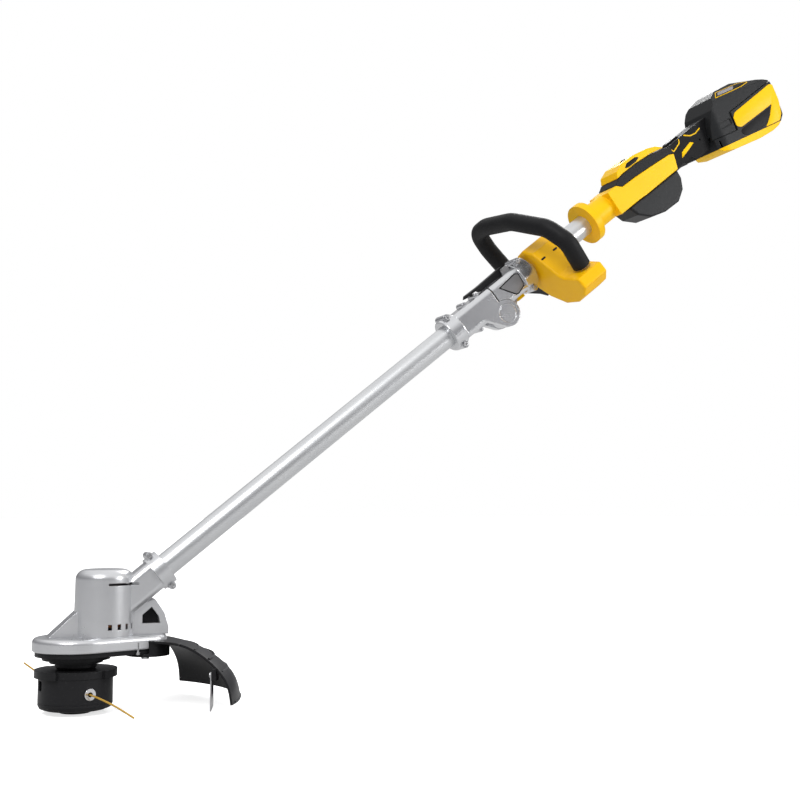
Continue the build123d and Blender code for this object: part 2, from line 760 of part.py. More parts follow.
flange_radius, rear_neck_radius, rear_width = 33.0, 21.0, 54.0
body_outline = [(866, -20), (866, 20), (886, 20), (895, 12.5), (925, 11.5), (960, 9), (1000, 5.5), (1009, 2),
                (1000, -21), (925, -21), (905, -20)]
band_outline = [(887, 20.4), (895.4, 12.9), (925, 11.9), (960, 9.4), (1000, 5.9), (1010, 3), (1012, 13),
                (1000, 19), (975, 24.5), (940, 27.5), (910, 27.5), (897, 26)]
cap_outline = [(897, 26.4), (910, 27.9), (940, 27.9), (975, 24.9), (1002, 19.4), (990, 29), (974, 35),
               (945, 40.5), (918, 41), (903, 36)]
bulge_outline = [(886, -20.4), (905, -20.4), (925, -21.4), (1000, -21.4), (999, -36), (990, -52), (971, -63),
                 (940, -62), (912, -54), (893, -38)]
grip_outline = [(1012.4, 3), (1014, 15), (1060, 15.5), (1106, 15.2), (1094, -2), (1083.5, -21.5), (1080, -30),
                (1060, -30.5), (1046, -30.5), (1040, -22), (1003, -21), (1009.4, 2)]


def rounded_slab(outline, width, corner, edge):
    """A slab across the side view with rounded corners and rounded long edges."""
    with BuildPart() as slab:
        with BuildSketch(side_view()) as face:
            Polygon(*outline, align=None)
            fillet(face.vertices(), corner)
        extrude(amount=width / 2, both=True)
        fillet(slab.faces().sort_by(Axis.Y)[0].edges(), edge)
        fillet(slab.faces().sort_by(Axis.Y)[-1].edges(), edge)
    return slab.part


def halves(whole, name):
    """Writes the left (near) and right (far) halves of a shell that parts on the shaft's middle plane."""
    for side, keep in (("left", Keep.TOP), ("right", Keep.BOTTOM)):
        with BuildPart() as half:
            add(whole)
            split(bisect_by=Plane.XZ, keep=keep)
        write_piece(half, f"{name}_{side}")


housing_spots = [(915, -5), (985, -7)]
with BuildPart() as rear_housing:
    add(rounded_slab(body_outline, rear_width, 1.2, 1.0))
    with BuildSketch(section(flange_along[1] - 1)):
        Circle(rear_neck_radius)
    extrude(amount=50)
    with BuildSketch(section(flange_along[0])):
        Circle(flange_radius)
    extrude(amount=flange_along[1] - flange_along[0])
    with BuildSketch(section(810)):
        Circle(tube_radius)
    extrude(amount=62, mode=Mode.SUBTRACT)
    with BuildSketch(side_view()):
        Polygon((874, -15), (874, 12), (900, 8), (1004, 2), (997, -17), (905, -17), align=None)
    extrude(amount=rear_width / 2 - 3, both=True, mode=Mode.SUBTRACT)
    with BuildSketch(side_view()):
        with Locations(*housing_spots):
            Circle(5)
    extrude(amount=rear_width / 2 - 2, both=True)
    with BuildSketch(side_view()):
        with Locations(*housing_spots):
            Circle(1.6)
    extrude(amount=rear_width / 2 - 3, both=True, mode=Mode.SUBTRACT)
    with BuildSketch(side_view(rear_width / 2)):
        with Locations(*housing_spots):
            Circle(3.5)
    extrude(amount=3, mode=Mode.SUBTRACT)
halves(rear_housing.part, "rear_housing")

with BuildPart() as cap_band:
    add(rounded_slab(band_outline, 50, 0.4, 0.8))
    with BuildSketch(side_view()):
        Polygon((905, 15), (995, 10), (995, 17), (972, 22), (912, 23.5), align=None)
    extrude(amount=19, both=True, mode=Mode.SUBTRACT)
write_piece(cap_band, "cap_band")

cap_slope = radians(shaft_rise - 6)
cap_top = Plane(origin=shaft_point(946, 41), x_dir=(cos(cap_slope), 0, sin(cap_slope)),
                z_dir=(-sin(cap_slope), 0, cos(cap_slope)))
with BuildPart() as top_cap:
    add(rounded_slab(cap_outline, 48, 0.6, 1.2))
    with BuildSketch(cap_top):
        SlotOverall(30, 15)
    extrude(amount=-7, mode=Mode.SUBTRACT)
write_piece(top_cap, "top_cap")

with BuildPart() as speed_switch:
    with BuildSketch(cap_top.offset(-6.3)):
        with Locations((-4, 0)):
            RectangleRounded(11, 10, 3)
    extrude(amount=4.8)
    with BuildSketch(cap_top.offset(-1.5)):
        with Locations((-4, 0)):
            Rectangle(3, 8)
    extrude(amount=1.5)
write_piece(speed_switch, "speed_switch")

with BuildPart() as hand_guard:
    add(rounded_slab(bulge_outline, 48, 3, 3))
    with BuildSketch(side_view()):
        Polygon((900, -24), (996, -24), (995, -36), (986, -50), (968, -59.5), (942, -58.5), (916, -51),
                (900, -38), align=None)
    extrude(amount=20.5, both=True, mode=Mode.SUBTRACT)
write_piece(hand_guard, "hand_guard")

with BuildPart() as control_board:
    with BuildSketch(side_view()):
        with Locations((946, -38)):
            Rectangle(56, 1.6)
        with Locations((946, -33)):
            Rectangle(40, 8.4)
    extrude(amount=16, both=True)
write_piece(control_board, "control_board")

# ---------------------------------------------------------------- battery receiver

receiver_outline = [(2, -11.5), (6, 10), (16, 34), (30, 52), (48, 60), (84, 62), (128, 50), (148, 41),
                    (148, 39.5), (48.5, 19.5), (48.5, -11.5)]
receiver_hollow = [(14, 8), (21, 30), (34, 47), (50, 55.5), (84, 57.5), (126, 46), (136, 41.5), (52, 24.5),
                   (43, 15), (43, 0), (14, 0)]
receiver_inner = [(14, 8), (21, 30), (32, 42), (60, 42), (78, 36), (52, 24.5), (43, 15), (43, 0), (14, 0)]
receiver_width, battery_width = 72.0, 76.0
nose_radius, tail_radius = 30.0, 9.0
battery_top = Plane(origin=battery_view.origin, x_dir=battery_dir,
                    z_dir=(-battery_dir.Z, 0, battery_dir.X))
battery_rear = Plane(origin=battery_view.origin, x_dir=(0, 1, 0), z_dir=battery_dir)


def nose_block(width):
    """The battery unit's plan: round at its front end and nearly square at its rear end."""
    with BuildPart() as block:
        with BuildSketch(battery_top.offset(-60)) as plan:
            with Locations((73, 0)):
                Rectangle(160, width)
            corners = plan.vertices().sort_by(Axis.X)
            fillet(corners[:2], nose_radius)
            fillet(plan.vertices().sort_by(Axis.X)[-2:], tail_radius)
        extrude(amount=160)
    return block.part


def battery_slab(outline, width, corner=0.0):
    """A slab across the battery's side view."""
    with BuildPart() as slab:
        with BuildSketch(battery_view) as face:
            Polygon(*outline, align=None)
            if corner > 0:
                fillet(face.vertices(), corner)
        extrude(amount=width / 2, both=True)
    return slab.part


def rails(stem, head, foot, start, end):
    """Two T-shaped rails along the battery's travel; foot is the height where they start."""
    with BuildPart() as pair:
        with BuildSketch(battery_rear.offset(start)):
            with Locations((-20, foot), (20, foot)):
                Rectangle(stem, 4, align=(Align.CENTER, Align.MIN))
            with Locations((-20, -8.8 - (head - 8) / 2), (20, -8.8 - (head - 8) / 2)):
                Rectangle(head, 2.8 + head - 8, align=(Align.CENTER, Align.MIN))
        extrude(amount=end - start)
    return pair.part


wire_hole = Plane(origin=shaft_point(1078, 4), x_dir=(0, 1, 0), z_dir=shaft)
blade_spots = [(-12, 13.2), (-4, 13.2), (4, 13.2), (12, 13.2)]
with BuildPart() as battery_terminals:
    with BuildSketch(battery_rear.offset(44)):
        with Locations(*blade_spots):
            Rectangle(1.2, 2.8)
    extrude(amount=14)
write_piece(battery_terminals, "battery_terminals")

with BuildPart() as battery_receiver:
    add(battery_slab(receiver_outline, receiver_width, 0.5))
    add(nose_block(receiver_width), mode=Mode.INTERSECT)
    add(battery_slab(receiver_hollow, 34, 1), mode=Mode.SUBTRACT)
    add(battery_slab(receiver_inner, receiver_width - 12, 1), mode=Mode.SUBTRACT)
    for side in (-1, 1):
        with BuildSketch(battery_rear.offset(-20)):
            Polygon((side * 36.5, 45.5), (side * 36.5, 70), (side * 12, 70), align=None)
        extrude(amount=200, mode=Mode.SUBTRACT)
    add(rails(4.8, 8.8, -13, -10, 60), mode=Mode.SUBTRACT)
    add(battery_terminals.part, mode=Mode.SUBTRACT)
    with BuildSketch(wire_hole):
        Circle(4)
    extrude(amount=30, mode=Mode.SUBTRACT)
    for side in (-receiver_width / 2, receiver_width / 2):
        with BuildSketch(battery_view.offset(side)):
            with Locations((33, 5)):
                RectangleRounded(24, 10, 2, rotation=4)
        extrude(amount=1.5, both=True, mode=Mode.SUBTRACT)
write_piece(battery_receiver, "battery_receiver")

# ---------------------------------------------------------------- rear grip and its controls

trigger_pivot = (1011, -19)
grip_screw = (1072, -8)
with BuildPart() as rear_grip:
    add(rounded_slab(grip_outline, 38, 0.5, 0.8))
    with BuildSketch(side_view()):
        Polygon((1016, -17), (1018, 11.5), (1100, 11.5), (1090, -4), (1079, -22), (1062, -27), (1049, -27),
                (1043, -18), align=None)
    extrude(amount=15.5, both=True, mode=Mode.SUBTRACT)
    with BuildSketch(side_view()):
        with Locations(grip_screw):
            Circle(5)
    extrude(amount=16, both=True)
    with BuildSketch(side_view()):
        with Locations(grip_screw):
            Circle(1.6)
    extrude(amount=20, both=True, mode=Mode.SUBTRACT)
    with BuildSketch(side_view(19)):
        with Locations(grip_screw):
            Circle(3.5)
    extrude(amount=3, mode=Mode.SUBTRACT)
    with BuildSketch(side_view()):
        Polygon((1005, -13), (1037, -13), (1041.5, -32), (1003, -32), (1003, -21), align=None)
    extrude(amount=7, both=True, mode=Mode.SUBTRACT)
    with BuildSketch(side_view()):
        with Locations(trigger_pivot):
            Circle(1.5 + slip)
    extrude(amount=10, both=True, mode=Mode.SUBTRACT)
    with BuildSketch(side_view()):
        with Locations((1036, 15)):
            Rectangle(30, 12)
    extrude(amount=6.5, both=True, mode=Mode.SUBTRACT)
    with BuildSketch(wire_hole):
        Circle(4)
    extrude(amount=30, mode=Mode.SUBTRACT)
    add(battery_receiver.part, mode=Mode.SUBTRACT)
halves(rear_grip.part, "rear_grip")

with BuildPart() as trigger:
    with BuildSketch(side_view()):
        Polygon((1006.5, -15.8), (1031, -15.8), (1036, -22), (1036, -29), (1022, -26), (1006.5, -26.5),
                align=None)
    extrude(amount=6.4, both=True)
    with BuildSketch(side_view()):
        with Locations(trigger_pivot):
            Circle(1.5)
    extrude(amount=9, both=True)
write_piece(trigger, "trigger")

with BuildPart() as trigger_switch:
    with BuildSketch(side_view()):
        with Locations((1034, -3)):
            Rectangle(26, 14)
    extrude(amount=12, both=True)
write_piece(trigger_switch, "trigger_switch")

with BuildPart() as lock_off:
    with BuildSketch(side_view()):
        Polygon((1022, 10), (1050, 10), (1050, 17), (1046, 18.5), (1026, 18.5), (1022, 17), align=None)
    extrude(amount=6, both=True)
    with BuildSketch(side_view()):
        with Locations((1036, 9.8)):
            Rectangle(32, 2.4)
    extrude(amount=9, both=True)
write_piece(lock_off, "lock_off")

with BuildPart() as rear_screws:
    add(collar_screws(upper_collar))
    add(screws(side_view(rear_width / 2 - 3), housing_spots, (3.2, -2.5), (1.6, -22)))
    add(screws(side_view(16), [grip_screw], (3.2, -2.5), (1.6, -24)))
write_piece(rear_screws, "rear_screws")

# ---------------------------------------------------------------- battery pack

case_outline = [(3, -12), (49, -12), (49, 19), (147, 38.8), (152, 34), (152, 4), (147, -19), (138, -27.8),
                (3, -27.8)]
case_hollow = [(51.4, 15), (142, 33), (148.5, 31), (148.5, 4), (143.8, -18), (136.5, -28), (8, -28), (8, -16),
               (51.4, -16)]
base_outline = [(3, -27.8), (10, -34), (30, -38.5), (85, -39.5), (115, -37), (130, -33), (138, -27.8)]
latch_low, latch_high, latch_half = -16.0, 3.0, 11.0
with BuildPart() as battery_case:
    add(battery_slab(case_outline, battery_width))
    add(rails(4, 8, -12.5, 6, 46))
    add(nose_block(battery_width), mode=Mode.INTERSECT)
    add(battery_slab(case_hollow, battery_width - 6), mode=Mode.SUBTRACT)
    with BuildSketch(battery_rear.offset(47)):
        with Locations(*blade_spots):
            Rectangle(2.2, 3.8)
    extrude(amount=5, mode=Mode.SUBTRACT)
    with BuildSketch(battery_rear.offset(140)):
        with Locations((0, (latch_low + latch_high) / 2)):
            Rectangle(2 * latch_half + 2 * gap, latch_high - latch_low + 2 * gap)
    extrude(amount=20, mode=Mode.SUBTRACT)
write_piece(battery_case, "battery_case")

with BuildPart() as battery_base:
    add(battery_slab(base_outline, battery_width))
    add(nose_block(battery_width), mode=Mode.INTERSECT)
write_piece(battery_base, "battery_base")

cell_radius, cell_length, cell_pitch = 9.0, 65.0, 18.05
with BuildPart() as battery_cells:
    with BuildSketch(battery_view.offset(-cell_length / 2)):
        with Locations(*[(60.6 + cell_pitch * column, row) for column in range(5) for row in (-17.5, 2)]):
            Circle(cell_radius)
    extrude(amount=cell_length)
write_piece(battery_cells, "battery_cells")

with BuildPart() as battery_latch:
    with BuildSketch(battery_rear.offset(145.5)):
        with Locations((0, (latch_low + latch_high) / 2)):
            RectangleRounded(2 * latch_half, latch_high - latch_low, 3)
    extrude(amount=8.5)
write_piece(battery_latch, "battery_latch")
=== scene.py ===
import bpy
from math import cos, pi, radians, sin
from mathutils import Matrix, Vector


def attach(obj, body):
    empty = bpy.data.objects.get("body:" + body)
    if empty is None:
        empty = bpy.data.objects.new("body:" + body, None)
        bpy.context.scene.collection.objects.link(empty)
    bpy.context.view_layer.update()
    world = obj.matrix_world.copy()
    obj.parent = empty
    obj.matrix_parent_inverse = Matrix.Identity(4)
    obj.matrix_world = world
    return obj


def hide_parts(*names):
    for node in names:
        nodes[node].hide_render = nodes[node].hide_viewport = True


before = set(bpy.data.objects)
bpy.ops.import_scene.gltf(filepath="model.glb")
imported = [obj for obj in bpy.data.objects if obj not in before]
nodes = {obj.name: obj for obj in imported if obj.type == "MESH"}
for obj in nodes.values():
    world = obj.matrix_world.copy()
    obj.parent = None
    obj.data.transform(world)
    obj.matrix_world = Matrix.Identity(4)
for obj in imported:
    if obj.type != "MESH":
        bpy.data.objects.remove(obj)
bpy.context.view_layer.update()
print("frame loaded", len(nodes))

mm = 0.001  # outlines and places are in millimetres
shaftRise = 38.7  # degrees above level, the shaft's and the battery rails'
packRise = 26.7


# shader maths

class Wire:
    # a socket in a material's tree, with arithmetic
    def __init__(self, tree, socket):
        self.tree = tree
        self.socket = socket

    def node(self, kind, settings=None, inputs=None, out=0):
        made = self.tree.nodes.new(kind)
        for key, value in (settings or {}).items():
            if key == "stops":
                ramp = made.color_ramp
                while len(ramp.elements) < len(value):
                    ramp.elements.new(0.5)
                for element, (place, colour) in zip(ramp.elements, value):
                    element.position = place
                    element.color = rgba(colour)
            else:
                setattr(made, key, value)
        for key, value in (inputs or {}).items():
            target = made.inputs[key]
            if isinstance(value, Wire):
                self.tree.links.new(value.socket, target)
            else:
                target.default_value = value
        return Wire(self.tree, made.outputs[out])

    def maths(self, operation, first, second):
        return self.node("ShaderNodeMath", {"operation": operation}, {0: first, 1: second})

    def mixed(self, first, second):
        # the first colour where this wire is 0, the second where it is 1
        share, colourA, colourB, colourOut = 0, 6, 7, 2
        return self.node("ShaderNodeMix", {"data_type": "RGBA"},
                         {share: self, colourA: first, colourB: second}, colourOut)

    def __add__(self, other):
        return self.maths("ADD", self, other)

    def __radd__(self, other):
        return self.maths("ADD", other, self)

    def __sub__(self, other):
        return self.maths("SUBTRACT", self, other)

    def __rsub__(self, other):
        return self.maths("SUBTRACT", other, self)

    def __mul__(self, other):
        return self.maths("MULTIPLY", self, other)

    def __rmul__(self, other):
        return self.maths("MULTIPLY", other, self)

    def __gt__(self, other):
        return self.maths("GREATER_THAN", self, other)


def rgba(colour):
    return (colour[0], colour[1], colour[2], 1.0)


def heightFor(place, pattern, scale):
    # the relief of one finish, 0 to 1, from object coordinates
    noise = "ShaderNodeTexNoise"
    wave = "ShaderNodeTexWave"
    waveHeight = 1
    if pattern == "brushed":
        drawnOut = place.node("ShaderNodeMapping", {}, {"Vector": place, "Scale": (0.03, 1, 1)})
        return place.node(noise, {}, {"Vector": drawnOut, "Scale": scale, "Detail": 3.0, "Roughness": 0.6})
    if pattern == "stipple":
        return 1 - place.node("ShaderNodeTexVoronoi", {}, {"Vector": place, "Scale": scale})
    if pattern == "turned":
        return place.node(wave, {"wave_type": "RINGS", "rings_direction": "Z"},
                          {"Vector": place, "Scale": scale, "Distortion": 0.6, "Detail": 1.0}, waveHeight)
    if pattern == "stacked":
        return place.node(wave, {"bands_direction": "Z"},
                          {"Vector": place, "Scale": scale, "Distortion": 0.1}, waveHeight)
    grain = place.node(noise, {}, {"Vector": place, "Scale": scale, "Detail": 4.0, "Roughness": 0.65})
    if pattern == "cast":
        lumps = place.node(noise, {}, {"Vector": place, "Scale": scale * 0.12, "Detail": 2.0})
        return grain * 0.6 + lumps * 0.4
    return grain


# what a finish has unless it says otherwise; lengths are in metres
commonFinish = {
    "turn": (0, 0, 0), "edge": 0.0009, "bump": 0.5,
    "cloudScale": 14.0, "cloudStops": [(0.38, (0, 0, 0)), (0.68, (1, 1, 1))], "cloudShare": 0.5,
    "speckScale": 320.0, "speckFrom": 0.66, "speckShare": 0.15,
    "pitShare": 0.25, "metal": 0.0, "roughCloud": 0.12, "roughFine": 0.1, "coat": 0.0, "coatRough": 0.2,
    "specular": 0.18, "scuff": 0.3, "scuffFrom": 0.71, "scuffRough": 0.25, "scuffDepth": 0.2}


def makeFinish(name, changes):
    v = {**commonFinish, "pit": changes["tint"], "speck": changes["tint"], **changes}
    finish = bpy.data.materials.new(name)
    finish.use_nodes = True
    tree = finish.node_tree
    shader = tree.nodes["Principled BSDF"]
    start = Wire(tree, tree.nodes.new("ShaderNodeTexCoord").outputs["Object"])
    place = start.node("ShaderNodeMapping", {}, {"Vector": start, "Rotation": v["turn"]})
    noise = "ShaderNodeTexNoise"
    relief = heightFor(place, v["pattern"], v["scale"])
    cloud = place.node(noise, {}, {"Vector": place, "Scale": v["cloudScale"], "Detail": 5.0,
                                   "Roughness": 0.6})
    speck = place.node(noise, {}, {"Vector": place, "Scale": v["speckScale"], "Detail": 2.0})
    # colour: clouded tint, fine specks, darker pits
    patchy = place.node("ShaderNodeValToRGB", {"stops": v["cloudStops"]}, {"Fac": cloud})
    colour = (patchy * v["cloudShare"]).mixed(rgba(v["base"]), rgba(v["tint"]))
    colour = ((speck > v["speckFrom"]) * v["speckShare"]).mixed(colour, rgba(v["speck"]))
    colour = ((1 - relief) * v["pitShare"]).mixed(colour, rgba(v["pit"]))
    # wear: long thin scuffs, rough and shallow
    scratchPlace = place.node("ShaderNodeMapping", {}, {"Vector": place, "Rotation": (0.4, 0.9, 0.7),
                                                        "Scale": (3, 60, 60)})
    scratched = place.node(noise, {}, {"Vector": scratchPlace, "Scale": 12.0, "Detail": 2.0})
    scuff = (scratched > v["scuffFrom"]) * v["scuff"]
    rough = v["rough"] + (cloud - 0.5) * v["roughCloud"] + (relief - 0.5) * v["roughFine"]
    rough = rough + scuff * v["scuffRough"]
    edge = place.node("ShaderNodeBevel", {"samples": 4}, {"Radius": v["edge"]})
    bump = place.node("ShaderNodeBump", {}, {"Strength": v["bump"], "Distance": v["depth"],
                                             "Height": relief - scuff * v["scuffDepth"], "Normal": edge})
    for socket, wire in (("Base Color", colour), ("Roughness", rough), ("Normal", bump)):
        tree.links.new(wire.socket, shader.inputs[socket])
    for socket, key in (("Metallic", "metal"), ("Coat Weight", "coat"), ("Coat Roughness", "coatRough"),
                        ("Specular IOR Level", "specular")):
        shader.inputs[socket].default_value = v[key]
    return finish


shaftTurn = (0, radians(shaftRise), 0)  # lays a finish's own X along the shaft
finishValues = {
    "silverCasting": {
        "pattern": "cast", "scale": 420, "depth": 0.00012, "edge": 0.0014,
        "base": (0.66, 0.665, 0.68), "tint": (0.56, 0.57, 0.59), "pit": (0.4, 0.41, 0.43),
        "pitShare": 0.12, "metal": 0.78, "rough": 0.3, "coat": 0.25},
    "hingeCasting": {
        "pattern": "cast", "scale": 380, "depth": 0.0001, "edge": 0.0018, "base": (0.7, 0.705, 0.72),
        "tint": (0.6, 0.61, 0.63), "pit": (0.42, 0.43, 0.45), "pitShare": 0.1, "metal": 0.9,
        "rough": 0.2, "coat": 0.4},
    "tubeAluminium": {
        "pattern": "brushed", "scale": 900, "depth": 0.00004, "turn": shaftTurn,
        "base": (0.67, 0.68, 0.69), "tint": (0.6, 0.61, 0.63), "pit": (0.5, 0.51, 0.53),
        "pitShare": 0.2, "metal": 0.85, "rough": 0.34},
    "yellowPlastic": {
        "pattern": "fine", "scale": 900, "depth": 0.00006, "edge": 0.0016, "base": (1.0, 0.6, 0.001),
        "tint": (0.94, 0.53, 0.001), "speck": (1.0, 0.68, 0.06), "pitShare": 0.1, "speckShare": 0.08,
        "rough": 0.4, "coat": 0.05},
    "amberPlastic": {
        "pattern": "fine", "scale": 800, "depth": 0.00006, "edge": 0.002, "base": (1.0, 0.55, 0.001),
        "tint": (0.93, 0.46, 0.001), "speck": (1.0, 0.6, 0.08), "pitShare": 0.1, "speckShare": 0.08,
        "rough": 0.38, "coat": 0.08},
    "blackPlastic": {
        "pattern": "fine", "scale": 1100, "depth": 0.0001, "edge": 0.0012,
        "base": (0.009, 0.009, 0.01), "tint": (0.016, 0.016, 0.018), "speck": (0.07, 0.07, 0.075),
        "speckShare": 0.1, "rough": 0.42},
    "hoodPlastic": {
        "pattern": "fine", "scale": 900, "depth": 0.0001, "edge": 0.002,
        "base": (0.013, 0.014, 0.015), "tint": (0.022, 0.023, 0.025), "speck": (0.09, 0.09, 0.1),
        "speckShare": 0.1, "rough": 0.38},
    "spoolPlastic": {
        "pattern": "turned", "scale": 260, "depth": 0.00008, "edge": 0.001,
        "base": (0.011, 0.011, 0.012), "tint": (0.02, 0.02, 0.022), "speck": (0.1, 0.1, 0.1),
        "speckShare": 0.12, "rough": 0.4, "scuff": 0.6},
    "guardPlastic": {
        "pattern": "fine", "scale": 700, "depth": 0.0001, "edge": 0.0015,
        "base": (0.01, 0.01, 0.011), "tint": (0.018, 0.018, 0.02), "speck": (0.12, 0.12, 0.13),
        "speckShare": 0.12, "rough": 0.33, "scuff": 0.8},
    "gripRubber": {
        "pattern": "stipple", "scale": 560, "depth": 0.00025, "edge": 0.0015,
        "base": (0.006, 0.006, 0.007), "tint": (0.012, 0.012, 0.013), "pitShare": 0.2, "rough": 0.62,
        "roughFine": 0.2},
    "foamSleeve": {
        "pattern": "stipple", "scale": 900, "depth": 0.0002, "edge": 0.001,
        "base": (0.008, 0.008, 0.009), "tint": (0.016, 0.016, 0.017), "pitShare": 0.3, "rough": 0.55,
        "roughFine": 0.25},
    "badgeGrey": {
        "pattern": "brushed", "scale": 700, "depth": 0.00004, "turn": shaftTurn,
        "base": (0.3, 0.3, 0.31), "tint": (0.22, 0.22, 0.23), "metal": 0.5, "rough": 0.36},
    "panelGrey": {
        "pattern": "stipple", "scale": 420, "depth": 0.0001, "base": (0.33, 0.31, 0.32),
        "tint": (0.2, 0.19, 0.2), "rough": 0.3, "coat": 0.5},
    # near-black plates: the real dark panels of the pack, display and badges, and painted shade in the cap's
    # ports and recess, the clamp's slots and the gusset's window
    "darkInsetAndShade": {
        "pattern": "stipple", "scale": 700, "depth": 0.0002, "base": (0.006, 0.006, 0.007),
        "tint": (0.014, 0.014, 0.015), "rough": 0.5},
    "greyRib": {
        "pattern": "fine", "scale": 800, "depth": 0.00008, "base": (0.02, 0.02, 0.022),
        "tint": (0.035, 0.035, 0.037), "rough": 0.35},
    "machinedSteel": {
        "pattern": "turned", "scale": 380, "depth": 0.00004, "edge": 0.0005,
        "base": (0.55, 0.55, 0.56), "tint": (0.42, 0.42, 0.43), "metal": 1.0, "rough": 0.28},
    "bladeSteel": {
        "pattern": "brushed", "scale": 800, "depth": 0.00004, "edge": 0.0004,
        "base": (0.6, 0.6, 0.61), "tint": (0.45, 0.45, 0.46), "metal": 1.0, "rough": 0.3},
    "chromeRing": {
        "pattern": "turned", "scale": 200, "depth": 0.00001, "edge": 0.0006,
        "base": (0.82, 0.82, 0.83), "tint": (0.7, 0.7, 0.72), "metal": 1.0, "rough": 0.1,
        "roughCloud": 0.04, "roughFine": 0.03},
    "coilCopper": {
        "pattern": "stacked", "scale": 420, "depth": 0.0004, "base": (0.72, 0.3, 0.11),
        "tint": (0.5, 0.19, 0.06), "pit": (0.2, 0.07, 0.02), "pitShare": 0.6, "metal": 0.8,
        "rough": 0.3},
    "coreSteel": {
        "pattern": "stacked", "scale": 520, "depth": 0.0002, "base": (0.35, 0.36, 0.38),
        "tint": (0.25, 0.26, 0.28), "pit": (0.12, 0.12, 0.13), "pitShare": 0.4, "metal": 0.9,
        "rough": 0.4},
    "boardGreen": {
        "pattern": "stipple", "scale": 220, "depth": 0.0002, "base": (0.02, 0.13, 0.05),
        "tint": (0.04, 0.2, 0.08), "speck": (0.7, 0.55, 0.2), "speckShare": 0.6, "speckFrom": 0.62,
        "rough": 0.35},
    "cellWrap": {
        "pattern": "fine", "scale": 300, "depth": 0.00006, "base": (0.03, 0.16, 0.4),
        "tint": (0.02, 0.11, 0.3), "rough": 0.25, "coat": 0.3},
    "cableSheath": {
        "pattern": "brushed", "scale": 500, "depth": 0.0001, "turn": shaftTurn,
        "base": (0.02, 0.02, 0.02), "tint": (0.035, 0.035, 0.035), "rough": 0.55},
    "cuttingLine": {
        "pattern": "brushed", "scale": 600, "depth": 0.00008, "edge": 0.0002,
        "base": (0.6, 0.36, 0.06), "tint": (0.42, 0.25, 0.04), "rough": 0.28, "coat": 0.2},
    "woundLine": {
        "pattern": "stacked", "scale": 130, "depth": 0.0006, "base": (0.72, 0.4, 0.05),
        "tint": (0.58, 0.3, 0.03), "pit": (0.3, 0.14, 0.01), "pitShare": 0.6, "rough": 0.3},
}
finishes = {name: makeFinish(name, values) for name, values in finishValues.items()}
print("finishes made", len(finishes))

dressing = {
    "silverCasting": ["head_housing_left", "head_housing_right", "gear_case"],
    "hingeCasting": ["lower_yoke", "upper_yoke", "hinge_caps"],
    "tubeAluminium": ["lower_tube", "upper_tube"],
    "yellowPlastic": ["rear_housing_left", "rear_housing_right", "top_cap", "battery_base", "release_button"],
    "amberPlastic": ["handle_clamp"],
    "blackPlastic": ["gear_cover", "cap_band", "trigger", "lock_off", "speed_switch", "battery_latch",
                     "fold_latch", "handle_bracket", "trigger_switch"],
    "hoodPlastic": ["hand_guard", "battery_receiver", "battery_case"],
    "spoolPlastic": ["spool_hub", "spool_housing", "spool_cover", "bump_knob", "line_spool"],
    "guardPlastic": ["guard"],
    "gripRubber": ["rear_grip_left", "rear_grip_right"],
    "foamSleeve": ["handle_grip"],
    "badgeGrey": ["hinge_badges"],
    "machinedSteel": ["head_screws", "rear_screws", "hinge_pins", "latch_bracket", "spindle", "motor_shaft",
                      "handle_core", "spindle_bearings", "motor_bearings", "drive_gear", "bump_spring"],
    "bladeSteel": ["line_cutter"],
    "chromeRing": ["line_eyelets"],
    "coilCopper": ["motor_windings", "battery_terminals"],
    "coreSteel": ["motor_stator", "motor_rotor"],
    "boardGreen": ["control_board"],
    "cellWrap": ["battery_cells"],
    "cableSheath": ["lower_lead", "upper_lead"],
    "woundLine": ["wound_line"],
    "cuttingLine": ["line_end_near", "line_end_far"],
}
for finishName, members in dressing.items():
    for member in members:
        for materialSlot in nodes[member].material_slots:
            materialSlot.material = finishes[finishName]
bare = sorted(set(nodes) - {member for members in dressing.values() for member in members})
print("carried-over nodes dressed, left bare:", bare)


# places on the tool: a plane is a point and two directions of length 1

sideways = Vector((0, 1, 0))
bothSides = ((-1, "near"), (1, "far"))


def directions(degrees):
    # along a line that rises by so much, and square to it
    rise = radians(degrees)
    return Vector((cos(rise), 0, sin(rise))), Vector((-sin(rise), 0, cos(rise)))


neckPoint = Vector((110, 0, 180.3)) * mm
alongShaft, aboveShaft = directions(shaftRise)
alongPack, abovePack = directions(packRise)


def shaftPoint(along, up, side=0.0):
    return neckPoint + (alongShaft * along + aboveShaft * up + sideways * side) * mm


packPoint = shaftPoint(1085, -10)


def sidePlane(side):
    return neckPoint + sideways * side * mm, alongShaft, aboveShaft


def packPlane(side):
    return packPoint + sideways * side * mm, alongPack, abovePack


def startPiece(name):
    piece = bpy.context.object
    piece.name = name
    bpy.ops.object.select_all(action="DESELECT")
    piece.select_set(True)
    bpy.context.view_layer.objects.active = piece
    return piece


def finishPiece(piece, finish, body, smoothUnder=35):
    bpy.ops.object.shade_smooth_by_angle(angle=radians(smoothUnder))
    piece.data.materials.append(finishes[finish])
    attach(piece, body)


